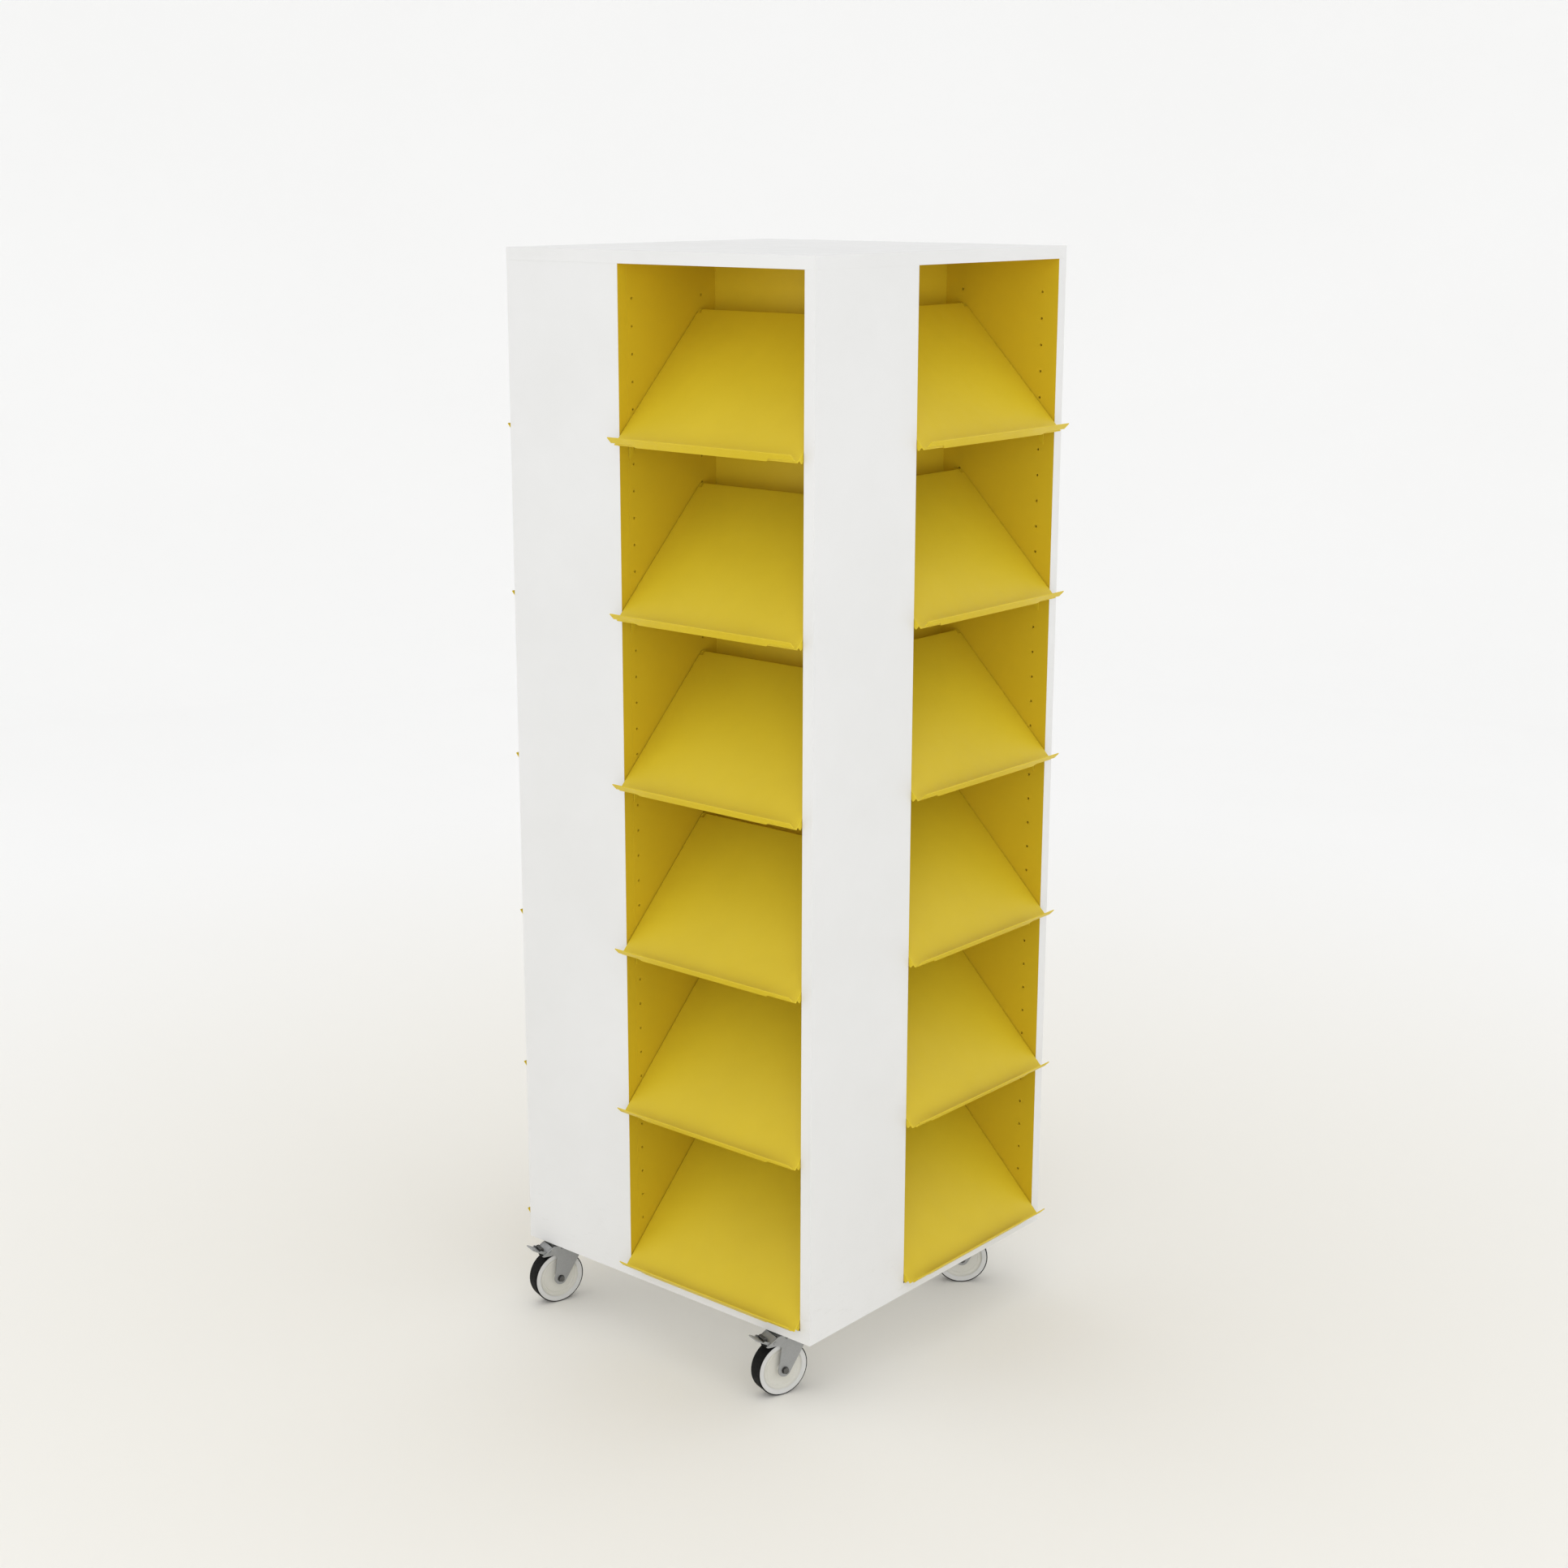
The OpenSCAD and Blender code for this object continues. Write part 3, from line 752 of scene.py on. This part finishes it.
def spun(name, half, steps=96):
    """Spins a half outline of (radius, distance from the middle) and its mirror image, in mm."""
    both = half + [(r, -y) for r, y in reversed(half)]
    piece = drawn(name, [(TRAIL, y * MM, WHEEL_R + r * MM) for r, y in both])
    bpy.ops.mesh.spin(steps=steps, angle=2 * math.pi, center=(TRAIL, 0, WHEEL_R), axis=(0, 1, 0),
                      use_auto_merge=True)
    closed_up()
    smooth(piece, 28)
    return piece


def prism(name, outline, thickness):
    """Extrudes an outline of (x, z) in mm along Y, both ways from y = 0."""
    piece = drawn(name, [(x * MM, -thickness / 2 * MM, z * MM) for x, z in outline])
    bpy.ops.mesh.edge_face_add()
    bpy.ops.mesh.extrude_region_move(TRANSFORM_OT_translate={"value": (0, thickness * MM, 0)})
    closed_up()
    return piece


def joined(name, pieces):
    deselect()
    for piece in pieces:
        piece.select_set(True)
    bpy.context.view_layer.objects.active = pieces[0]
    bpy.ops.object.join()
    pieces[0].name = name
    return pieces[0]


def soften(piece, width, segments=2, angle=35):
    modify(piece, "BEVEL", width=width * MM, segments=segments, limit_method="ANGLE",
           angle_limit=math.radians(angle), use_clamp_overlap=True)
    return piece


# %% Wheel and tread
wheel = spun("wheel_moulded", [
    (4.05, 14.2), (7.0, 14.2), (7.5, 13.8), (7.9, 10.2), (8.6, 8.9), (9.8, 8.3), (26.6, 8.3),
    (27.2, 8.75), (28.4, 8.75), (29.0, 8.3), (31.0, 8.4), (32.4, 8.9), (33.3, 9.9), (33.9, 11.2),
    (34.5, 11.8), (35.2, 12.0), (41.0, 12.0), (41.5, 11.9), (41.7, 11.6),
])
tread = spun("tyre_bonded", [(41.7, 11.8), (42.5, 11.8), (43.0, 11.65), (43.35, 11.3), (43.49, 10.7)])


def sunken(point):
    """Whether a point of the wheel lies in the web, inside the rim."""
    return math.hypot(point.x - TRAIL, point.z - WHEEL_R) < 34.0 * MM and abs(point.y) < 11.3 * MM


# The web faces get the darker finish, which is painted shade.
copies(wheel, CASTORS, "wheel_", "white_nylon", "wheel_", nylon, shaded_web_nylon, sunken)
copies(tread, CASTORS, "wheel_", "black_rubber", "tyre_", rubber)

# %% [markdown]
# The wheel turns on a hexagon bolt with a washer at each arm and a nut at the far end.

# %% Axle bolt


def rod(name, radius, start, end, sides):
    """A bar across the castor at the axle, from y = start to y = end in mm."""
    deselect()
    bpy.ops.mesh.primitive_cylinder_add(
        vertices=sides, radius=radius * MM, depth=(end - start) * MM,
        location=(TRAIL, (start + end) / 2 * MM, WHEEL_R), rotation=(math.pi / 2, 0, 0))
    piece = bpy.context.object
    piece.name = name
    bpy.ops.object.transform_apply(location=True, rotation=True, scale=True)
    return piece


axle = joined("axle_bolt", [
    soften(rod("shank", 4.0, -24.6, 17.0, 48), 0.7),
    soften(rod("head_washer", 6.0, 17.0, 17.9, 48), 0.25),
    soften(rod("head", 5.2, 17.9, 21.9, 6), 0.6),
    soften(rod("nut_washer", 6.0, -17.9, -17.0, 48), 0.25),
    soften(rod("nut", 5.2, -22.8, -17.9, 6), 0.6),
])
smooth(axle)
copies(axle, CASTORS, "swivel_", "dark_bolt", "axle_", bolt_steel)

# %% [markdown]
# ## Brake
# The lever is a folded blank on a pin through the fork's nose. Its outer tread slopes up and out,
# its inner plate slopes up and in, and a spring sits in the fold. A shoe under the lever presses on
# the tread of the wheel.

# %% Brake lever
PIVOT_X = (Vector(joints["front_right_brake"]["pos_m"]) - swivel_at["front_right"]).to_2d().length / MM
PIVOT_Z = joints["front_right_brake"]["pos_m"][2] / MM


def at_pivot(points):
    return [(PIVOT_X + x, PIVOT_Z + z) for x, z in points]


def tapered(piece, from_x, to_x, share):
    """Narrows a piece along Y, from full width at from_x to a share of it at to_x."""
    only(piece)
    for vertex in piece.data.vertices:
        along = (vertex.co.x / MM - PIVOT_X - from_x) / (to_x - from_x)
        vertex.co.y *= 1 - (1 - share) * min(max(along, 0), 1)
    return piece


tread_outline = at_pivot([
    (5, -2.2), (8.5, -3.2), (30.2, 8.6), (30.4, 9.6), (29.2, 10.6), (9.0, -0.6),
])
tread_plate = tapered(prism("tread_plate", tread_outline, 27), 25, 30, 0.82)
RIB_L = 17
ribs = []
for x, z in ((18.0, 4.1), (21.8, 6.2), (25.6, 8.3)):
    rib_outline = at_pivot([(x, z), (x + 0.4, z + 1.1), (x + 1.5, z + 1.5), (x + 2.2, z + 0.9)])
    ribs.append(soften(prism("rib", rib_outline, RIB_L), 0.2))
free_plate = prism("free_plate", at_pivot([(4.6, -1.2), (-4.8, 7.4), (-3.6, 8.6), (6.8, 0.2)]), 24)
CHEEK_T = 1.8
CHEEK_Y = 13.2                               # distance of a cheek from the middle of the lever
cheek_outline = at_pivot([
    (-4.6, 1.0), (-5.0, 7.0), (-3.6, 8.6), (5.5, 1.6), (15.5, 6.0), (18, 4.8), (10.5, -2.8),
    (7.0, -4.2), (2.0, -4.2), (-3.6, -2.2),
])
cheeks = []
for side in (-1, 1):
    cheek = prism("cheek", cheek_outline, CHEEK_T)
    cheek.data.transform(Matrix.Translation((0, side * CHEEK_Y * MM, 0)))
    cheeks.append(soften(cheek, 0.4))
pin = rod("pin", 2.5, -18.0, 18.0, 32)
pin.data.transform(Matrix.Translation(((PIVOT_X * MM) - TRAIL, 0, PIVOT_Z * MM - WHEEL_R)))
lever = joined("brake_lever", [
    soften(tread_plate, 0.5), soften(free_plate, 0.4), *cheeks, *ribs, soften(pin, 0.6),
])
smooth(lever)
copies(lever, BRAKED, "brake_", "zinc_fork", "brake_pedal_", fork_zinc)

# %% Spring and shoe
COIL_PITCH = 3.4
coil_outline = at_pivot([
    (8.2, 3.0), (8.2, 6.6), (10.0, 8.4), (13.4, 8.4), (15.2, 6.6), (15.2, 3.6), (12.0, 2.0),
])
coils = []
for place in range(-2, 3):
    coil = soften(prism("coil", coil_outline, 2.6), 0.6)
    coil.data.transform(Matrix.Translation((0, place * COIL_PITCH * MM, 0)))
    coils.append(coil)
spring_core = prism("core", at_pivot([(9.2, 2.6), (9.2, 6.4), (14.2, 6.4), (14.2, 4.0)]), 17)
spring = joined("brake_spring", [*coils, spring_core])
smooth(spring)
copies(spring, BRAKED, "brake_", "dark_bolt", "brake_pedal_", bolt_steel)

SHOE_GAP = 2.6
shoe_r = WHEEL_R / MM + SHOE_GAP
arc = []
for step in range(9):
    angle = math.radians(66 - 1.4 * step)
    arc.append((TRAIL / MM + shoe_r * math.cos(angle), WHEEL_R / MM + shoe_r * math.sin(angle)))
shoe = soften(prism("brake_shoe", arc + at_pivot([(11.6, -4.5), (11.0, -1.0), (2.0, -1.5)]), 18), 0.5)
smooth(shoe)
copies(shoe, BRAKED, "brake_", "black_rubber", "brake_pedal_", rubber)
print("brake pivot:", round(PIVOT_X, 1), round(PIVOT_Z, 1))
